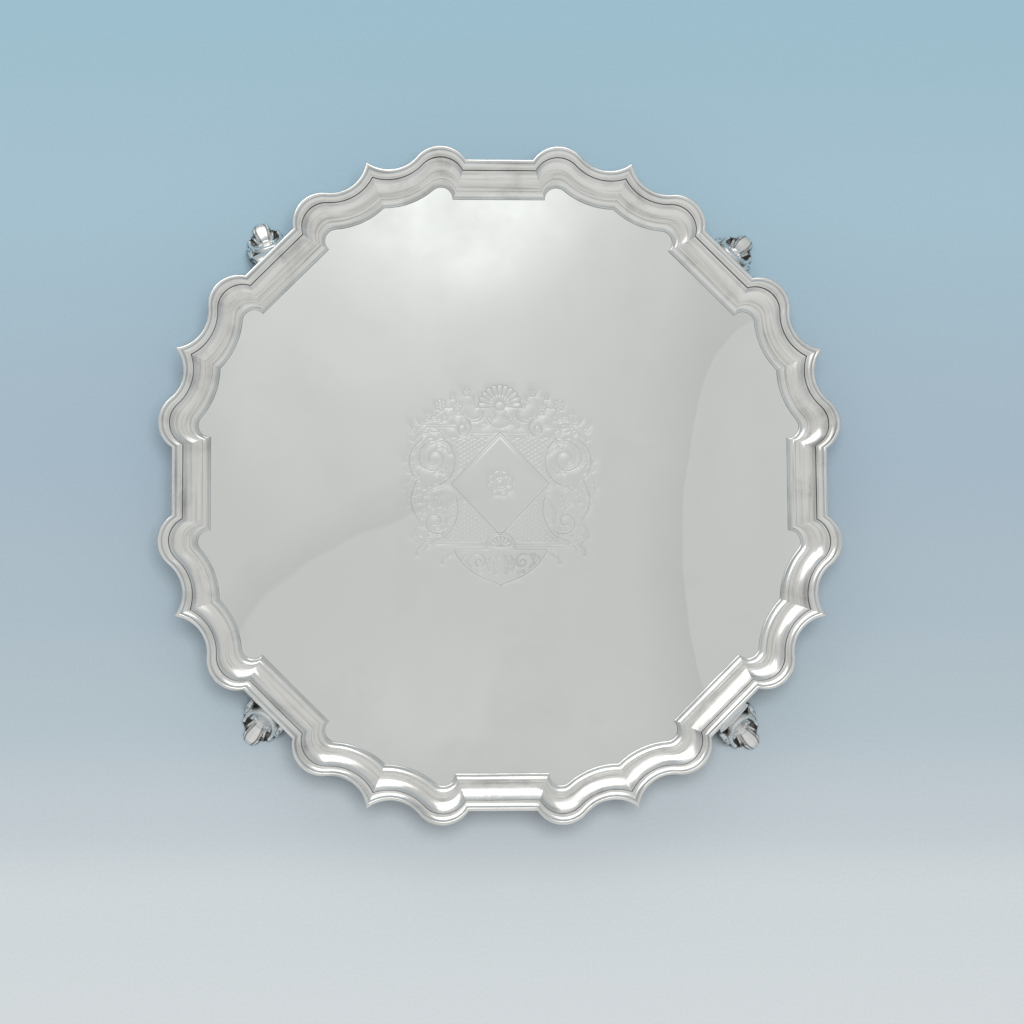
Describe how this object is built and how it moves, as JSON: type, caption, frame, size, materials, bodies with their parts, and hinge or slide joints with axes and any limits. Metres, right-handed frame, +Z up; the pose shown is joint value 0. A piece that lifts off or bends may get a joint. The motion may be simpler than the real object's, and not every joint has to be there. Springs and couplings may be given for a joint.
{
  "type": "silver salver",
  "caption": "Round footed tray with a raised moulded border of straights, lobes and points mitred at the points, a flat well to carry things on, and cast scroll feet with shell toes.",
  "frame": {"origin": "centre of the plane the four feet stand on, at the centre of the round tray", "axes": "+Z up; -Y is the front, the side at the bottom of the picture; +X to the right. The feet stand at 45 degrees to X and Y."},
  "size_m": [0.3146, 0.3146, 0.0341],
  "materials": {
    "plate_silver": "hand-polished silver with fine scratches",
    "cast_silver": "polished cast silver, darkened in the recesses",
    "solder": "dull silver solder"
  },
  "bodies": {
    "root": {"tray_plate": "plate_silver", "border_section_1": "cast_silver", "border_section_2": "cast_silver", "border_section_3": "cast_silver", "border_section_4": "cast_silver", "border_section_5": "cast_silver", "border_section_6": "cast_silver", "border_section_7": "cast_silver", "border_section_8": "cast_silver", "border_solder": "solder", "foot_back_right": "cast_silver", "foot_back_left": "cast_silver", "foot_front_left": "cast_silver", "foot_front_right": "cast_silver", "foot_solder_back_right": "solder", "foot_solder_back_left": "solder", "foot_solder_front_left": "solder", "foot_solder_front_right": "solder"}
  },
  "joints": []
}
